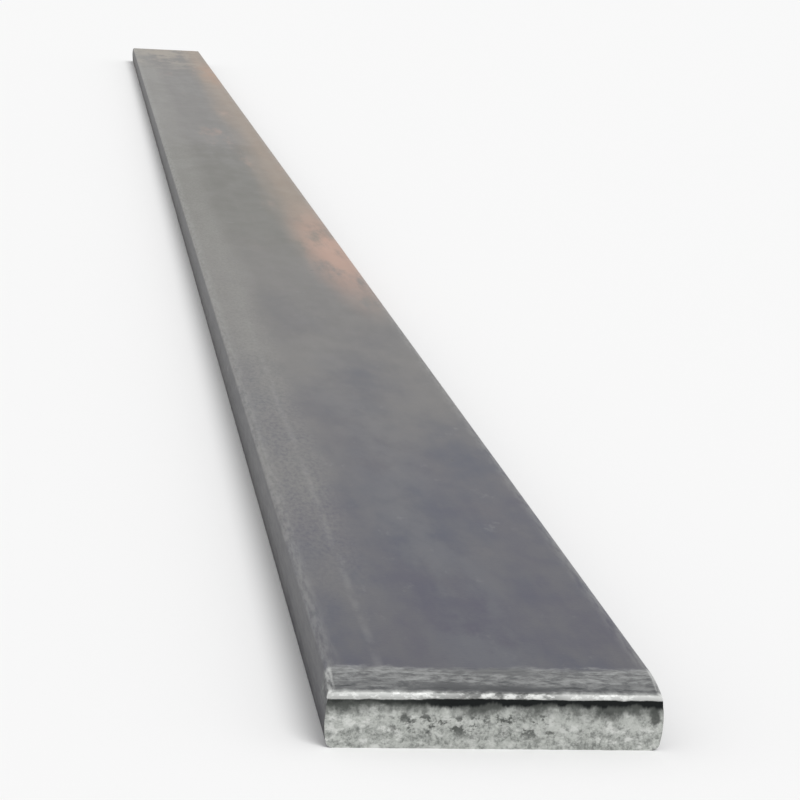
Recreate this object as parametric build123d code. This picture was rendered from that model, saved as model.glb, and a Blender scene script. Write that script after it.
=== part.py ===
from build123d import *
import math
import os

os.makedirs("parts", exist_ok=True)

# Bar as rolled
length = 6000
width = 200
thickness = 40

# Rolled edges, which bulge at mid-thickness and have rounded corners
edge_crown = 2
corner_radius = 5

# Sheared ends: the blade draws the surface down to a lip, cuts a smooth band below it,
# and the rest of the thickness breaks off
rollover_length = 34
rollover_drop = 7.5
lip_radius = 2.5
band_height = 5
band_depth = 1.2
band_step = 1
break_top = 0.4
break_lean = 1.6

# Stock beyond each end, which the blade takes off
offcut = 12

near_end = -length / 2
middle = Axis((0, thickness / 2), (0, 0, 1))


def half_turn(edges):
    """The same edges turned half round in side view, as the far end lies."""
    return [edge.rotate(middle, 180) for edge in edges]


def rolled_section():
    """Cross-section of the bar: flat top and bottom between two crowned edges."""
    flat = width / 2 - edge_crown
    right = ThreePointArc((flat, 0), (width / 2, thickness / 2), (flat, thickness))
    left = mirror(right, about=Plane.YZ)
    return make_face([right, left, Line(right @ 0, left @ 0), Line(right @ 1, left @ 1)])


def rollover():
    """Arc on which the blade draws the top face down, from the flat to where the lip begins."""
    reach = rollover_length - lip_radius
    depth = rollover_drop - lip_radius
    radius = (reach**2 + rollover_drop**2 - lip_radius**2) / (2 * depth)
    slope = math.degrees(math.asin(reach / (radius - lip_radius)))
    return JernArc((near_end + rollover_length, thickness), (-1, 0), radius, slope)


def drawn_outline():
    """Side view of the bar with its offcuts, drawn down at the near end and up at the far one."""
    drawn = rollover()
    shoulder = Line(drawn @ 1, drawn @ 1 + drawn % 1 * offcut)
    back = Line(shoulder @ 1, ((shoulder @ 1).X, 0))
    near = [drawn, shoulder, back]
    far = half_turn(near)
    top = Line(drawn @ 0, far[-1] @ 1)
    bottom = Line(back @ 1, far[0] @ 0)
    return make_face([*near, *far, top, bottom])


def offcut_outline():
    """Side view of what the blade takes off the near end: lip, smooth band and break."""
    drawn = rollover()
    fall = math.degrees(math.atan2(-(drawn % 1).Y, -(drawn % 1).X))
    undercut = math.degrees(math.acos(1 - band_depth / lip_radius))
    lip = JernArc(drawn @ 1, drawn % 1, lip_radius, 90 - fall + undercut)
    band_bottom = (lip @ 1).Y - band_height
    cut = Polyline(
        lip @ 1,
        (near_end + band_depth, band_bottom),
        (near_end + break_top, band_bottom - band_step),
        (near_end + break_lean, 0),
        (near_end + break_lean, -offcut),
        (near_end - offcut, -offcut),
        (near_end - offcut, thickness),
        ((lip @ 0).X, thickness),
        lip @ 0,
    )
    return [lip, *cut.edges()]


def runs_along(edge):
    """True for an edge that runs along the bar, also where an end is drawn down."""
    direction = edge % 0.5
    return abs(direction.Y) > max(abs(direction.X), abs(direction.Z))


def flat_bar():
    """The bar: rolled section, drawn down at the ends, rounded along its edges and sheared off."""
    rolled = extrude(Plane.XZ * rolled_section(), amount=length / 2 + offcut, both=True)
    drawn = extrude(Plane.YZ * drawn_outline(), amount=width / 2, both=True)
    bar = rolled & drawn
    bar = fillet(bar.edges().filter_by(runs_along), corner_radius)
    for outline in (offcut_outline(), half_turn(offcut_outline())):
        bar -= extrude(Plane.YZ * make_face(outline), amount=width, both=True)
    return bar


bar = flat_bar()
export_step(bar, "parts/flat_bar.step")
print(f"flat_bar: {bar.volume / 1000:.0f} cm3, {bar.bounding_box().size}")
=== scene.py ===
import math

import bmesh
import bpy
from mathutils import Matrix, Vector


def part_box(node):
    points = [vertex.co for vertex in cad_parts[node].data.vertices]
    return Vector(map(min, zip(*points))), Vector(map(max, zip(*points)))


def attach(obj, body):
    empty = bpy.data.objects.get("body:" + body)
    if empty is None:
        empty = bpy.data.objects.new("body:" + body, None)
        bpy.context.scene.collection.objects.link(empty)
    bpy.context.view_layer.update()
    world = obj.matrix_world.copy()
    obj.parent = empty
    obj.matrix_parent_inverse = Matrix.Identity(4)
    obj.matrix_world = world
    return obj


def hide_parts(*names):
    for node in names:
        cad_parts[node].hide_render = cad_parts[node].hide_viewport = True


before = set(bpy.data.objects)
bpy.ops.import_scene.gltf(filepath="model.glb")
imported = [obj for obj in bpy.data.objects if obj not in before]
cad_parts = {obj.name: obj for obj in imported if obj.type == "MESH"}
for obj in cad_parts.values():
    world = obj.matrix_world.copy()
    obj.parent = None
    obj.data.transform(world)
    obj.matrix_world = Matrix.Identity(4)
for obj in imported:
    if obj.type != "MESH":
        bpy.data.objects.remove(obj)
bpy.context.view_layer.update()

# The bar is one piece of thick, narrow plate of mild steel. It was rolled hot, which left it flat
# on top and bottom between two crowned edges with rounded corners. Half of it is drawn out here,
# because each end is the other one turned half round.
bar_low, bar_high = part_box("flat_bar")
half_length = min(bar_high.y, -bar_low.y)
half_width = min(bar_high.x, -bar_low.x)
thickness = bar_high.z
edge_crown = 0.002
crown_radius = ((thickness / 2) ** 2 + edge_crown**2) / (2 * edge_crown)
crown_rows = 32
corner_radius = 0.005
corner_turn = math.radians(85)
corner_steps = 6
rollover_length = 0.034
flat_start = rollover_length - half_length
flat_loops = 30
hair = 0.00001
square_on = 0.9
straight = 0.9999


def crown(height):
    """Half the bar's width at a height, on the arc of its rolled edge."""
    return half_width - crown_radius + math.sqrt(crown_radius**2 - (height - thickness / 2) ** 2)


def pick(kind, wanted):
    """Selects the vertices, edges or faces of the edited mesh that are wanted."""
    bpy.ops.mesh.select_mode(type=kind)
    bpy.ops.mesh.select_all(action="DESELECT")
    mesh = bmesh.from_edit_mesh(bpy.context.object.data)
    for item in {"VERT": mesh.verts, "EDGE": mesh.edges, "FACE": mesh.faces}[kind]:
        if wanted(item):
            item.select_set(True)
    bmesh.update_edit_mesh(bpy.context.object.data)


def runs(axis):
    """A test for edges that run straight along an axis, given as 0, 1 or 2."""

    def test(edge):
        step = edge.verts[1].co - edge.verts[0].co
        return abs(step[axis]) > straight * step.length

    return test


bpy.ops.object.select_all(action="DESELECT")
bpy.ops.mesh.primitive_cube_add(
    size=1,
    calc_uvs=False,
    location=(0, flat_start / 2, thickness / 2),
    scale=(2 * half_width, -flat_start, thickness),
)
bar = bpy.context.object
bar.name = "rolled_bar"
bpy.ops.object.transform_apply(location=True, rotation=True, scale=True)
bpy.ops.object.mode_set(mode="EDIT")
pick("FACE", lambda face: face.normal.y > square_on)
bpy.ops.mesh.delete(type="ONLY_FACE")

corner_x = crown(corner_radius) - corner_radius
rows = {}
for step in range(corner_steps + 1):
    angle = corner_turn * step / corner_steps
    height = corner_radius * (1 - math.cos(angle))
    rows[height] = rows[thickness - height] = corner_x + corner_radius * math.sin(angle)
for row in range(1, crown_rows):
    crown_height = height + (thickness - 2 * height) * row / crown_rows
    rows[crown_height] = crown(crown_height)
for height in rows:
    if 0 < height < thickness:
        bpy.ops.mesh.select_all(action="SELECT")
        bpy.ops.mesh.bisect(plane_co=(0, 0, height), plane_no=(0, 0, 1))
for height, reach in rows.items():
    pick("VERT", lambda vertex: abs(vertex.co.z - height) < hair)
    bpy.ops.transform.resize(value=(reach / half_width, 1, 1), center_override=(0, 0, 0))
pick("EDGE", runs(1))
bpy.ops.mesh.subdivide(number_cuts=flat_loops - 1)

# The sheared end is the same steel, cut cold. The blade draws the top face down over the last few
# centimetres to a rounded lip and wipes a smooth band just below it, and then the rest of the
# thickness tears off.
rollover_drop = 0.0075
rollover_steps = 30
lip_radius = 0.0025
lip_steps = 6
rollover_reach = rollover_length - lip_radius
rollover_radius = (rollover_reach**2 + rollover_drop**2 - lip_radius**2) / (2 * (rollover_drop - lip_radius))
rollover_slope = math.asin(rollover_reach / (rollover_radius - lip_radius))
band_depth = 0.0012
band_height = 0.005
band_step = 0.001
break_top = 0.0004
break_lean = 0.0016
undercut = lip_radius * math.sin(math.acos(1 - band_depth / lip_radius))
cut_height = thickness - rollover_drop
set_back_over = 0.004
column_cuts = (9, 15)


def cut_depth(height):
    """How far the cut face lies behind the lip at a height."""
    below = cut_height - height
    band_end = undercut + band_height
    break_start = band_end + band_step
    if below < undercut:
        return lip_radius - math.sqrt(lip_radius**2 - below**2)
    if below < band_end:
        return band_depth
    if below < break_start:
        return band_depth + (break_top - band_depth) * (below - band_end) / band_step
    return break_top + (break_lean - break_top) * (below - break_start) / (cut_height - break_start)


stations = []
for step in range(1, rollover_steps + 1):
    angle = rollover_slope * step / rollover_steps
    along = flat_start - rollover_radius * math.sin(angle)
    stations.append((along, thickness - rollover_radius * (1 - math.cos(angle))))
for step in range(1, lip_steps + 1):
    angle = rollover_slope + (math.pi / 2 - rollover_slope) * step / lip_steps
    along = lip_radius * (1 - math.sin(angle)) - half_length
    stations.append((along, cut_height + lip_radius * math.cos(angle)))
pick("FACE", lambda face: face.normal.y < -square_on)
last_along, last_top = flat_start, thickness
for along, top in stations:
    bpy.ops.mesh.extrude_region_move(TRANSFORM_OT_translate={"value": (0, along - last_along, 0)})
    bpy.ops.transform.resize(value=(1, 1, top / last_top), center_override=(0, along, 0))
    last_along, last_top = along, top
set_back_from = set_back_over - half_length
last_stations = [(along, top) for along, top in stations if along < set_back_from]


def in_row(height):
    """A test for vertices at the very end of a row that was so high on the bar as rolled."""
    places = [(along, height * top / thickness) for along, top in last_stations]
    return lambda vertex: any(math.dist(vertex.co.yz, place) < hair for place in places)


# Each row is pressed back from the lip to the depth of the cut there, evenly over its last stretch.
for height in rows:
    pick("VERT", in_row(height))
    kept = 1 - cut_depth(height * cut_height / thickness) / set_back_over
    bpy.ops.transform.resize(value=(1, kept, 1), center_override=(0, set_back_from, 0))
for cuts in column_cuts:
    pick("EDGE", runs(0))
    bpy.ops.mesh.subdivide(number_cuts=cuts)
bpy.ops.object.mode_set(mode="OBJECT")

# The whole bar is still the one piece of steel: its second half is a copy of the first, turned
# half round and welded to it at mid-length.
bpy.ops.object.duplicate()
bpy.ops.transform.rotate(value=math.pi, orient_axis="X", center_override=(0, 0, thickness / 2))
bpy.ops.object.transform_apply(location=True, rotation=True, scale=True)
bar.select_set(True)
bpy.context.view_layer.objects.active = bar
bpy.ops.object.join()
bpy.ops.object.mode_set(mode="EDIT")
bpy.ops.mesh.select_all(action="SELECT")
bpy.ops.mesh.remove_doubles(threshold=hair)
bpy.ops.object.mode_set(mode="OBJECT")

# The bar's skin, laid out flat for a bake of its finish, in strips across a square. Each end has a
# broad strip of its own, from where it is drawn down to the foot of the cut, because that is where
# the steel has most to show.
strip_heights = {"near": 0.2, "far": 0.2, "top": 0.2, "bottom": 0.2, "left": 0.055, "right": 0.055}
strip_gap = 0.0125
half_square = math.sqrt(0.5)
strip_starts = {}
start = strip_gap
for name, strip_height in strip_heights.items():
    strip_starts[name] = start
    start += strip_height + strip_gap


def cut_place(along, up):
    """Distance from the nearer end, and depth below the face that the blade drew down there."""
    depth = up if along > 0 else thickness - up
    return half_length - abs(along), depth


def strip_of(face):
    """The strip of the layout that a face of the bar belongs to."""
    from_end, depth = cut_place(face.center.y, face.center.z)
    if abs(face.normal.x) > half_square:
        return "left" if face.normal.x < 0 else "right"
    drawn_down = from_end < rollover_length and depth < thickness / 2
    if drawn_down or abs(face.normal.y) > half_square:
        return "near" if face.center.y < 0 else "far"
    return "top" if face.normal.z > 0 else "bottom"


layout = bar.data.uv_layers.new(name="OFBake").data
for face in bar.data.polygons:
    strip = strip_of(face)
    for corner in face.loop_indices:
        across, along, up = bar.data.vertices[bar.data.loops[corner].vertex_index].co
        from_end, depth = cut_place(along, up)
        lengthwise = 0.5 + along / (2 * half_length)
        crosswise = 0.5 + across / (2 * half_width)
        if strip in ("near", "far"):
            past_lip = depth - from_end if depth < rollover_drop else depth
            run, rise = crosswise, (past_lip + rollover_length) / (thickness + rollover_length)
        elif strip in ("top", "bottom"):
            run, rise = lengthwise, crosswise
        else:
            run, rise = lengthwise, up / thickness
        run = strip_gap + run * (1 - 2 * strip_gap)
        layout[corner].uv = (run, strip_starts[strip] + rise * strip_heights[strip])

# The torn part of each cut is coarse, and the lips wave a little, as steel does where it gives way
# in front of a blade.
torn_lump, torn_lump_depth = 0.011, 0.0010
torn_grain, torn_grain_depth = 0.0035, 0.0006
lip_wave, lip_wave_depth = 0.018, 0.0008
torn_start, torn_full = 0.0105, 0.0135
torn_back, torn_front = 0.012, 0.0024
lip_back, lip_front = 0.016, 0.002
lip_foot, lip_top = 0.015, 0.010
smooth_angle = math.radians(40)


def ramp(value, low, high):
    """0 below low, 1 above high, and a straight line between; high may be the lower one."""
    return min(max((value - low) / (high - low), 0), 1)


def roughen(group, lump, sink, octaves=2):
    """Sinks a vertex group along the bar by a noise of so large lumps, by up to so much."""
    texture = bpy.data.textures.new(f"{group}_{lump}", "CLOUDS")
    texture.noise_scale = lump
    texture.noise_depth = octaves
    modifier = bar.modifiers.new(texture.name, "DISPLACE")
    modifier.texture = texture
    modifier.texture_coords = "LOCAL"
    modifier.vertex_group = group
    modifier.direction = "Y"
    modifier.mid_level = 0
    modifier.strength = sink


for end, inward in (("near", 1), ("far", -1)):
    torn = bar.vertex_groups.new(name=f"{end}_torn").index
    lip = bar.vertex_groups.new(name=f"{end}_lip").index
    for vertex in bar.data.vertices:
        from_end, depth = cut_place(vertex.co.y, vertex.co.z)
        if vertex.co.y * inward > 0 or from_end > rollover_length / 2:
            continue
        at_torn = ramp(from_end, torn_back, torn_front) * ramp(depth, torn_start, torn_full)
        at_lip = ramp(from_end, lip_back, lip_front) * ramp(depth, lip_foot, lip_top)
        bar.vertex_groups[torn].add([vertex.index], at_torn, "REPLACE")
        bar.vertex_groups[lip].add([vertex.index], at_lip, "REPLACE")
    roughen(f"{end}_torn", torn_lump, torn_lump_depth * inward)
    roughen(f"{end}_torn", torn_grain, torn_grain_depth * inward, octaves=1)
    roughen(f"{end}_lip", lip_wave, lip_wave_depth * inward)
for name in [modifier.name for modifier in bar.modifiers]:
    bpy.ops.object.modifier_apply(modifier=name)
bar.vertex_groups.clear()
bpy.ops.object.shade_smooth_by_angle(angle=smooth_angle)

# The mill scale is a thin, hard skin of blue-grey oxide, which grew on the hot steel as it cooled.
# It is mottled and faintly streaked along the bar, with a painted sheen along the middle of each
# broad face, rubbed pale at the corners, where a painted highlight joins the wear, and stained with
# rust towards the far end, where dust and a painted reflection of the sky make it paler. Its rolled
# edges carry painted shade, darker towards the bottom. It is cracked off where the blade drew the
# end down, with painted shade where the end bends towards the lip, painted glints on its corners
# and a painted highlight on the lip.
scale_blue = (0.038, 0.046, 0.079)
scale_violet = (0.048, 0.047, 0.077)
scale_grey = (0.066, 0.066, 0.079)
scale_sheen = (0.078, 0.084, 0.104)
dust_and_sky_reflection = (0.128, 0.122, 0.115)
dull = (0.070, 0.070, 0.050)
end_dust_and_reflection = (0.285, 0.240, 0.188)
stain = (0.250, 0.190, 0.140)
rust = (0.460, 0.270, 0.195)
old_rust = (0.340, 0.190, 0.110)
grit = (0.220, 0.215, 0.195)
side_shade_dark = (0.015, 0.015, 0.020)
side_shade_light = (0.120, 0.120, 0.126)
rubbed_and_highlit = (0.290, 0.290, 0.280)
flaked = (0.100, 0.103, 0.105)
wisp = (0.440, 0.450, 0.440)
crack_and_shade = (0.035, 0.037, 0.040)
bright_steel_and_highlight = (0.80, 0.81, 0.79)
pores_per_metre = 50.0
rust_blooms = (
    (rust, 0.80, (0.080, -1.22, thickness), (0.046, 0.50, 0.046)),
    (old_rust, 0.65, (0.088, 2.00, thickness), (0.040, 0.50, 0.040)),
)
# A pair of places is where a finish fades: there is none of it at the first, and all at the second.
sheen_across = (0.045, 0.010)
dust_and_reflection_along = (-3.0, -1.4)
dull_at, dull_reach = -0.55, (1.0, 0.2)
end_dust_and_reflection_along = (1.9, 2.8)
stain_across, stain_along = (0.022, 0.080), (-1.6, -0.5)
grit_across, grit_along = (-0.036, -0.066), (-2.98, -2.5)
scratch_at, scratch_width, scratch_along = -0.066, (0.0042, 0.0004), (-1.2, -2.4)
side_reach, side_top, side_shade_rise = (0.0026, 0.0012), (0.0398, 0.0365), (0.004, 0.034)
rub_and_highlight_reach = (0.014, 0.003)
speck_across, speck_along = (-0.08, 0.06), (-1.9, 0.5)
drawn_from, drawn_edge_width, drawn_depth = rollover_length - 0.003, (0.0050, -0.0050), (0.024, 0.012)
wisp_reach = (0.085, 0.045)
rim_reach = (-0.0105, -0.002)
bend_shade_depth = (0.0020, 0.0048)
glint_inner, glint_outer = (0.0058, 0.0040), (0.0008, 0.0022)
outer_part = (0.02, 0.07)
shine_outer, shine_left = (0.010, 0.055), (-0.02, -0.06)
shine_top, shine_foot, shine_reach = (0.0046, 0.0070), (0.0096, 0.0086), (0.006, 0.003)


def add(tree, kind, inputs=None, **settings):
    """Adds a shader node, and sets its properties and its inputs by value or by link."""
    made = tree.nodes.new("ShaderNode" + kind)
    for name, value in settings.items():
        setattr(made, name, value)
    for name, value in (inputs or {}).items():
        if isinstance(value, bpy.types.NodeSocket):
            tree.links.new(value, made.inputs[name])
        else:
            made.inputs[name].default_value = value
    return made


def calc(tree, operation, *values):
    """The output of a Math node."""
    return add(tree, "Math", dict(enumerate(values)), operation=operation).outputs[0]


def fade(tree, value, low, high, top=1.0):
    """Rises smoothly from 0 at low to top at high, or falls where high is the lower one."""
    inputs = {"Value": value, "From Min": low, "From Max": high, "To Max": top}
    return add(tree, "MapRange", inputs, interpolation_type="SMOOTHSTEP").outputs[0]


def both(tree, first, *others):
    """The product of several shares."""
    for other in others:
        first = calc(tree, "MULTIPLY", first, other)
    return first


def offset(tree, place, centre, size):
    """A place's offset from a centre, in sizes across, along and up the bar."""
    mapping = {"Vector": place, "Location": centre, "Scale": size}
    return add(tree, "Mapping", mapping, vector_type="TEXTURE").outputs[0]


def noise(tree, place, lumps, detail=3.0, roughness=0.5, shift=0.0):
    """Noise from 0 to 1, with lumps so long across, along and up the bar, in metres."""
    stretched = offset(tree, place, (0, 0, shift), lumps)
    inputs = {"Vector": stretched, "Scale": 1.0, "Detail": detail, "Roughness": roughness}
    return add(tree, "TexNoise", inputs).outputs[0]


def spot(tree, place, centre, size):
    """How far out in an oval spot a place is: 0 at its centre and 1 at its rim."""
    away = offset(tree, place, centre, size)
    return add(tree, "VectorMath", {0: away}, operation="LENGTH").outputs["Value"]


def sway(tree, value, pattern, reach):
    """Moves a value up or down by a noise, by half of reach each way."""
    return calc(tree, "MULTIPLY_ADD", calc(tree, "SUBTRACT", pattern, 0.5), reach, value)


def blend(tree, share, below, above):
    """Mixes two colours, each a socket or a linear colour."""
    mixed = add(tree, "Mix", {0: share}, data_type="RGBA")
    for socket, value in ((mixed.inputs[6], below), (mixed.inputs[7], above)):
        if isinstance(value, bpy.types.NodeSocket):
            tree.links.new(value, socket)
        else:
            socket.default_value = (*value, 1)
    return mixed.outputs[2]


def finish_of(name):
    """A new material on the bar: its node tree, its shader, and where a point of the bar is."""
    material = bpy.data.materials.new(name)
    material.use_nodes = True
    bar.data.materials.append(material)
    tree = material.node_tree
    return tree, tree.nodes["Principled BSDF"], add(tree, "TexCoord").outputs["Object"]


def from_cut(tree, along, up):
    """As cut_place, in shader nodes."""
    from_end = calc(tree, "SUBTRACT", half_length, calc(tree, "ABSOLUTE", along))
    height = calc(tree, "SUBTRACT", up, thickness / 2)
    return from_end, calc(tree, "MULTIPLY_ADD", calc(tree, "SIGN", along), height, thickness / 2)


def lip_shine(tree, place, across, depth):
    """The bright line along the lip: bare steel with a painted highlight, broader and whiter at the sides.
    """
    drift = noise(tree, place, (0.033, 0.033, 0.033))
    outer = fade(tree, calc(tree, "ABSOLUTE", sway(tree, across, drift, 0.06)), *shine_outer)
    depth = sway(tree, depth, noise(tree, place, (0.009, 0.009, 0.009), 4, 0.6), 0.0022)
    upper = calc(tree, "MULTIPLY_ADD", outer, 0.0003, depth)
    left = fade(tree, across, *shine_left, 0.0010)
    line = fade(tree, calc(tree, "SUBTRACT", depth, left), *shine_foot)
    line = both(tree, fade(tree, upper, *shine_top), line)
    gaps = noise(tree, place, (0.0065, 0.0045, 0.0035), 5, 0.65)
    gaps = fade(tree, sway(tree, gaps, noise(tree, place, (0.02, 0.02, 0.02), 2, shift=9), 0.3), 0.36, 0.60)
    gaps = calc(tree, "MAXIMUM", gaps, calc(tree, "MULTIPLY", outer, 0.62))
    return both(tree, line, calc(tree, "MULTIPLY_ADD", gaps, 0.74, 0.26))


tree, shader, place = finish_of("mill_scale")
across, along, up = add(tree, "SeparateXYZ", {"Vector": place}).outputs
from_end, depth = from_cut(tree, along, up)
mottle = noise(tree, place, (0.10, 0.29, 0.10), 5, 0.6)
dapple = noise(tree, place, (0.029, 0.077, 0.029), 5, 0.62)
streak = noise(tree, place, (0.022, 1.4, 0.022), 3, 0.5)
hue = noise(tree, place, (0.083, 0.25, 0.083), 4, 0.55, shift=1.7)
tone = calc(tree, "MULTIPLY_ADD", dapple, 0.40, calc(tree, "MULTIPLY", mottle, 0.42))
tone = fade(tree, calc(tree, "MULTIPLY_ADD", streak, 0.18, tone), 0.36, 0.64)
colour = blend(tree, fade(tree, hue, 0.38, 0.62), scale_blue, scale_violet)
colour = blend(tree, tone, colour, scale_grey)
middle = calc(tree, "ABSOLUTE", sway(tree, across, noise(tree, place, (0.125, 0.5, 0.125)), 0.06))
# A painted sheen along the middle of each broad face.
sheen = both(tree, fade(tree, middle, *sheen_across), fade(tree, dapple, 0.38, 0.60), 0.6)
colour = blend(tree, sheen, colour, scale_sheen)

# Paler and warmer towards the far end: dust, together with a painted reflection of the sky on the faces
# there.
reach = sway(tree, along, mottle, 1.6)
colour = blend(tree, fade(tree, reach, *dust_and_reflection_along), colour, dust_and_sky_reflection)
off_dull = calc(tree, "ABSOLUTE", calc(tree, "SUBTRACT", reach, dull_at))
colour = blend(tree, fade(tree, off_dull, *dull_reach, 0.5), colour, dull)
dust_and_reflection_share = fade(tree, sway(tree, along, hue, 1.0), *end_dust_and_reflection_along)
dust_and_reflection_share = both(tree, dust_and_reflection_share, fade(tree, tone, 0.1, 0.8, 0.75))
colour = blend(tree, dust_and_reflection_share, colour, end_dust_and_reflection)
edgewise = sway(tree, across, noise(tree, place, (0.05, 0.6, 0.05), 4, 0.6), 0.05)
stained = both(tree, fade(tree, edgewise, *stain_across, 0.85), fade(tree, reach, *stain_along))
colour = blend(tree, stained, colour, stain)
gritty = noise(tree, place, (0.0033, 0.009, 0.0033), 4, 0.7)
off_middle = sway(tree, across, noise(tree, place, (0.033, 0.42, 0.033), 4, 0.6), 0.03)
gritty = both(
    tree,
    fade(tree, off_middle, *grit_across),
    fade(tree, along, *grit_along, 0.55),
    fade(tree, gritty, 0.20, 0.70),
)
colour = blend(tree, gritty, colour, grit)

waver = noise(tree, place, (1, 0.33, 1), 2)
off_scratch = sway(tree, calc(tree, "SUBTRACT", across, scratch_at), waver, 0.006)
broken = fade(tree, noise(tree, place, (0.017, 0.03, 0.017), 4, 0.65), 0.34, 0.62)
scratch = fade(tree, calc(tree, "ABSOLUTE", off_scratch), *scratch_width)
scratch = both(tree, scratch, broken, fade(tree, along, *scratch_along, 0.20))
colour = blend(tree, scratch, colour, rubbed_and_highlit)
from_side = calc(tree, "SUBTRACT", half_width, calc(tree, "ABSOLUTE", across))
on_side = both(tree, fade(tree, from_side, *side_reach), fade(tree, up, *side_top))
# Painted shade on the rolled edges: darker towards the bottom, lighter towards the top.
side = blend(tree, fade(tree, sway(tree, up, dapple, 0.012), *side_shade_rise), side_shade_dark, side_shade_light)
colour = blend(tree, both(tree, on_side, 0.85), colour, side)
# The corners are rubbed pale, with a painted highlight along them.
worn_and_glinting = noise(tree, place, (0.0036, 0.028, 0.0036), 4, 0.65)
rub_and_highlight = both(tree, fade(tree, from_side, *rub_and_highlight_reach), fade(tree, worn_and_glinting, 0.34, 0.64))
rub_and_highlight = both(tree, rub_and_highlight, calc(tree, "MULTIPLY_ADD", on_side, -0.28, 0.42))
colour = blend(tree, rub_and_highlight, colour, rubbed_and_highlit)

rusty = noise(tree, place, (0.03, 0.18, 0.03), 5, 0.65)
for bloom_colour, strength, centre, size in rust_blooms:
    bloom = fade(tree, spot(tree, place, centre, size), 1.2, 0.1)
    bloom = both(tree, bloom, fade(tree, rusty, 0.28, 0.56), strength)
    colour = blend(tree, bloom, colour, bloom_colour)
specks = noise(tree, place, (0.07, 0.45, 0.07), 5, 0.7, shift=3.1)
specks = both(tree, fade(tree, specks, 0.56, 0.74, 0.40), fade(tree, along, *speck_along))
specks = both(tree, specks, fade(tree, across, *speck_across))
colour = blend(tree, specks, colour, rust)
scuffs = noise(tree, place, (0.018, 0.045, 0.018), 4, 0.7, shift=5.3)
colour = blend(tree, fade(tree, scuffs, 0.62, 0.78, 0.25), colour, rubbed_and_highlit)
pores = add(tree, "TexVoronoi", {"Vector": place, "Scale": pores_per_metre})
pore_size = fade(tree, pores.outputs["Color"], 0.78, 1.0, 0.10)
pore = fade(tree, calc(tree, "SUBTRACT", pores.outputs["Distance"], pore_size), 0.02, 0.0, 0.6)
colour = blend(tree, pore, colour, crack_and_shade)

frayed = noise(tree, place, (0.036, 0.10, 0.036), 5, 0.65)
speckled = noise(tree, place, (0.009, 0.006, 0.006), 4, 0.7)
drawn_edge = sway(tree, sway(tree, drawn_from, frayed, 0.022), speckled, 0.016)
past_edge = calc(tree, "SUBTRACT", from_end, drawn_edge)
drawn = both(tree, fade(tree, past_edge, *drawn_edge_width), fade(tree, depth, *drawn_depth))
lines = noise(tree, place, (0.007, 0.0035, 0.0035), 5, 0.7)
clumps = noise(tree, place, (0.042, 0.014, 0.025), 3, 0.5, shift=4)
outer = fade(tree, calc(tree, "ABSOLUTE", across), *outer_part)
clumps = calc(tree, "MULTIPLY_ADD", outer, 0.16, clumps)
clumps = fade(tree, clumps, 0.44, 0.66)
strained = blend(tree, both(tree, fade(tree, lines, 0.34, 0.66), clumps, 0.55), flaked, wisp)
wisps = noise(tree, place, (0.030, 0.0045, 0.0045), 4, 0.6, shift=1.2)
wisps = both(tree, fade(tree, wisps, 0.54, 0.64), fade(tree, from_side, *wisp_reach, 0.45))
strained = blend(tree, wisps, strained, wisp)
rim = noise(tree, place, (0.018, 0.0035, 0.011), 4, 0.6, shift=2)
rim = both(tree, fade(tree, past_edge, *rim_reach), fade(tree, rim, 0.46, 0.60))
strained = blend(tree, both(tree, rim, calc(tree, "MULTIPLY_ADD", outer, 0.35, 0.15)), strained, wisp)
splits = noise(tree, place, (0.014, 0.003, 0.005), 3, 0.6, shift=5)
strained = blend(tree, fade(tree, splits, 0.43, 0.31, 0.6), strained, crack_and_shade)
# Painted shade where the drawn-down end bends over towards the lip.
strained = blend(tree, fade(tree, depth, *bend_shade_depth, 0.45), strained, crack_and_shade)
# A painted glint along the corners of the drawn-down end.
glint = both(tree, fade(tree, from_side, *glint_inner), fade(tree, from_side, *glint_outer))
glint = both(tree, glint, fade(tree, worn_and_glinting, 0.35, 0.60, 0.45))
strained = blend(tree, glint, strained, bright_steel_and_highlight)
colour = blend(tree, both(tree, drawn, 0.92), colour, strained)
# The lip: bare burnished steel with a painted highlight.
shine = both(tree, lip_shine(tree, place, across, depth), fade(tree, from_end, *shine_reach))
colour = blend(tree, shine, colour, bright_steel_and_highlight)
tree.links.new(colour, shader.inputs["Base Color"])

shader.inputs["Metallic"].default_value = 0.35
shader.inputs["Specular IOR Level"].default_value = 0.35
rough = calc(tree, "MULTIPLY_ADD", tone, -0.05, 0.485)
rough = calc(tree, "MULTIPLY_ADD", on_side, 0.22, rough)
rough = calc(tree, "MULTIPLY_ADD", shine, -0.15, rough)
tree.links.new(rough, shader.inputs["Roughness"])
grain = noise(tree, place, (0.0024, 0.0024, 0.0024), 4, 0.65)
relief = calc(tree, "MULTIPLY_ADD", both(tree, lines, drawn), 1.8, calc(tree, "SUBTRACT", grain, pore))
bump = add(tree, "Bump", {"Height": relief, "Strength": 0.22, "Distance": 0.0004})
tree.links.new(bump.outputs[0], shader.inputs["Normal"])

# The cut face is the bar's own bare steel: grey and coarse where it tore, and darker at the top of
# the torn part with dark drips and painted shade under the lip. The ragged band just below the lip is
# nearly black, a dark smear where the blade wiped it, deepened with painted shadow, and the lip is
# bright bare steel with a painted highlight.
torn_dark = (0.190, 0.200, 0.188)
torn_light = (0.510, 0.525, 0.498)
torn_pale = (0.680, 0.690, 0.665)
pit_and_shade = (0.055, 0.060, 0.055)
wiped_and_shaded = (0.006, 0.008, 0.008)
facets_per_metre = 330.0
pale_depth = (0.034, 0.022)
drips_and_shade_depth = (0.0224, 0.0126)
smudge_top, smudge_foot, smudge_across = (0.014, 0.021), (0.036, 0.028), (0.085, 0.045)
snag_at, snag_size = (0.0945, -half_length, 0.0215), (0.0040, 0.02, 0.0075)
band_foot, band_edge, band_left = 0.0131, (0.0015, -0.0012), (-0.030, -0.075)

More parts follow.
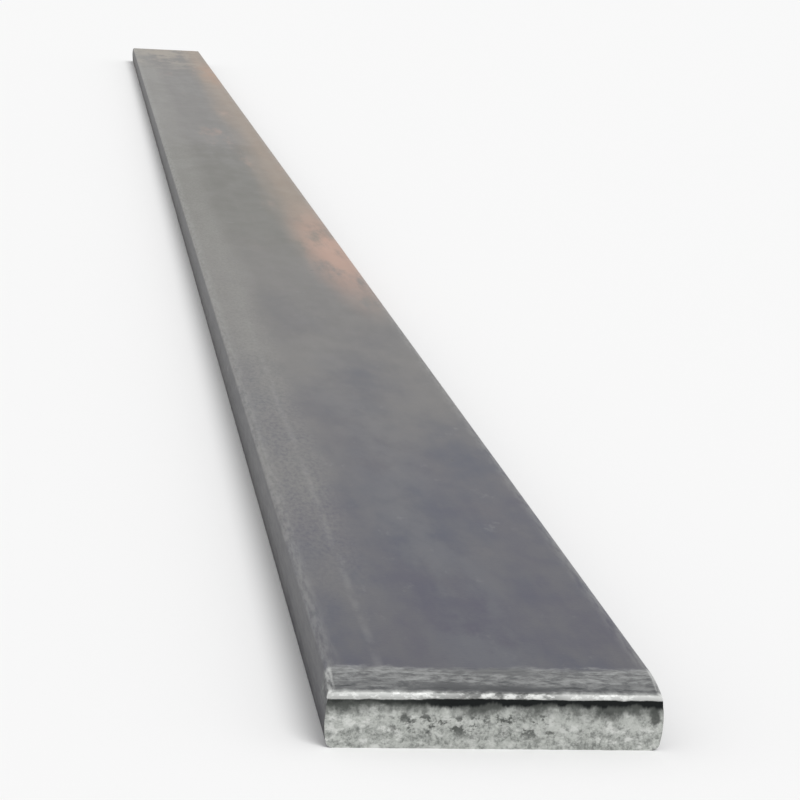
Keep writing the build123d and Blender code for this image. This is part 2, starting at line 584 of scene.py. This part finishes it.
tree, shader, place = finish_of("cut_steel")
across, along, up = add(tree, "SeparateXYZ", {"Vector": place}).outputs
depth = from_cut(tree, along, up)[1]
cloud = noise(tree, place, (0.042, 0.042, 0.017), 3, 0.5)
lumps = noise(tree, place, (0.0055, 0.0055, 0.005), 4, 0.65)
crystals = noise(tree, place, (0.0016, 0.0016, 0.0016), 4, 0.7)
facets = add(tree, "TexVoronoi", {"Vector": place, "Scale": facets_per_metre}).outputs["Color"]
tone = calc(tree, "MULTIPLY_ADD", crystals, 0.38, calc(tree, "MULTIPLY", cloud, 0.17))
tone = calc(tree, "MULTIPLY_ADD", lumps, 0.37, tone)
tone = calc(tree, "MULTIPLY_ADD", facets, 0.08, tone)
tone = calc(tree, "ADD", fade(tree, depth, *pale_depth, 0.050), tone)
colour = blend(tree, fade(tree, tone, 0.38, 0.61), torn_dark, torn_light)
scabs = noise(tree, place, (0.009, 0.009, 0.006), 5, 0.65, shift=1)
outer = fade(tree, calc(tree, "ABSOLUTE", across), *outer_part)
pale = both(tree, fade(tree, scabs, 0.50, 0.64), calc(tree, "MULTIPLY_ADD", outer, 0.35, 0.45))
colour = blend(tree, pale, colour, torn_pale)
# Painted shade under the lip, with dark drips, darkens the top of the torn part.
drips_and_shade = sway(tree, depth, noise(tree, place, (0.018, 0.018, 0.025), 3, 0.5, shift=2), 0.015)
drips_and_shade = sway(tree, drips_and_shade, noise(tree, place, (0.0053, 0.0053, 0.008), 3, 0.6), 0.011)
colour = blend(tree, fade(tree, drips_and_shade, *drips_and_shade_depth, 0.95), colour, pit_and_shade)
amid = both(tree, fade(tree, depth, *smudge_top), fade(tree, depth, *smudge_foot))
amid = both(tree, amid, fade(tree, calc(tree, "ABSOLUTE", across), *smudge_across))
cluster = fade(tree, noise(tree, place, (0.022, 0.022, 0.022), 2, 0.5, shift=3), 0.32, 0.52)
smudges = noise(tree, place, (0.0060, 0.0060, 0.0050), 4, 0.65, shift=6)
smudges = both(tree, fade(tree, smudges, 0.51, 0.39), amid, cluster, 0.85)
colour = blend(tree, smudges, colour, pit_and_shade)
snag = sway(tree, spot(tree, place, snag_at, snag_size), lumps, 1.6)
snag = both(tree, fade(tree, snag, 1.1, 0.4), 0.85)
colour = blend(tree, snag, colour, pit_and_shade)
# The band below the lip: a dark smear where the blade wiped it, deepened with painted shadow.
left = fade(tree, sway(tree, across, cloud, 0.06), *band_left)
ragged = calc(tree, "MULTIPLY_ADD", left, -0.0006, band_foot)
ragged = sway(tree, ragged, noise(tree, place, (0.014, 0.014, 0.05), 4, 0.6, shift=5), 0.0095)
ragged = sway(tree, ragged, noise(tree, place, (0.005, 0.005, 0.02), 3, 0.6, shift=7), 0.0065)
in_band = fade(tree, calc(tree, "SUBTRACT", depth, ragged), *band_edge)
kept = calc(tree, "MULTIPLY_ADD", left, -0.40, 1.0)
colour = blend(tree, both(tree, in_band, kept), colour, wiped_and_shaded)
# The lip: bare burnished steel with a painted highlight.
shine = lip_shine(tree, place, across, depth)
colour = blend(tree, shine, colour, bright_steel_and_highlight)
tree.links.new(colour, shader.inputs["Base Color"])

shader.inputs["Metallic"].default_value = 0.25
shader.inputs["Specular IOR Level"].default_value = 0.2
rough = calc(tree, "MULTIPLY_ADD", crystals, 0.3, 0.42)
rough = calc(tree, "MULTIPLY_ADD", shine, -0.20, rough)
tree.links.new(rough, shader.inputs["Roughness"])
relief = calc(tree, "SUBTRACT", calc(tree, "ADD", crystals, lumps), smudges)
bump = add(tree, "Bump", {"Height": relief, "Strength": 0.4, "Distance": 0.0008})
tree.links.new(bump.outputs[0], shader.inputs["Normal"])

cut_zone = 0.0035
facing_out = 0.5
bpy.ops.object.mode_set(mode="EDIT")
pick(
    "FACE",
    lambda face: half_length - abs(face.calc_center_median().y) < cut_zone
    and abs(face.normal.y) > facing_out,
)
bar.active_material_index = 1
bpy.ops.object.material_slot_assign()
bpy.ops.object.mode_set(mode="OBJECT")
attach(bar, "root")
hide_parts("flat_bar")

# The floor under the bar is broad, pale and matt, and takes the bar's shadow.
floor_size = 1000
floor_grey = (0.93, 0.93, 0.93, 1)
bpy.ops.mesh.primitive_plane_add(size=floor_size)
floor = bpy.context.object
floor.name = "floor"
pale_floor = bpy.data.materials.new("pale_floor")
pale_floor.use_nodes = True
shader = pale_floor.node_tree.nodes["Principled BSDF"]
shader.inputs["Base Color"].default_value = floor_grey
shader.inputs["Roughness"].default_value = 0.9
shader.inputs["Specular IOR Level"].default_value = 0
floor.data.materials.append(pale_floor)

# The light is an even white surround and one broad, soft lamp, high up beyond the near end and to
# its right, which leaves the bar's left edge in the shade.
surround = 0.65
lamp_strength = 1.4
lamp_spread = math.radians(30)
lamp_turn = (math.radians(35), 0, math.radians(30))
world = bpy.data.worlds.new("studio")
bpy.context.scene.world = world
world.use_nodes = True
tree = world.node_tree
ray = add(tree, "LightPath").outputs
seen = calc(tree, "MAXIMUM", ray["Is Camera Ray"], ray["Is Transmission Ray"])
seen = calc(tree, "MAXIMUM", seen, ray["Is Glossy Ray"])
background = tree.nodes["Background"]
background.inputs["Color"].default_value = (1, 1, 1, 1)
strength = calc(tree, "MULTIPLY_ADD", seen, 1 - surround, surround)
tree.links.new(strength, background.inputs["Strength"])
bpy.ops.object.light_add(type="SUN", rotation=lamp_turn)
lamp = bpy.context.object
lamp.data.energy = lamp_strength
lamp.data.angle = lamp_spread

# The camera stands 1.3 m in front of the near end and 0.47 m above the floor, and looks along the
# bar, at the angle of the photograph. It sees as far as the floor is broad.
camera_place = (-0.249, -4.307, 0.472)
camera_turn = (math.radians(78.6), math.radians(-3.18), math.radians(-7.29))
camera_lens = 108
bpy.ops.object.camera_add(location=camera_place, rotation=camera_turn)
camera = bpy.context.object
camera.data.lens = camera_lens
camera.data.clip_end = floor_size
bpy.context.scene.camera = camera
bpy.context.scene.view_settings.view_transform = "Standard"
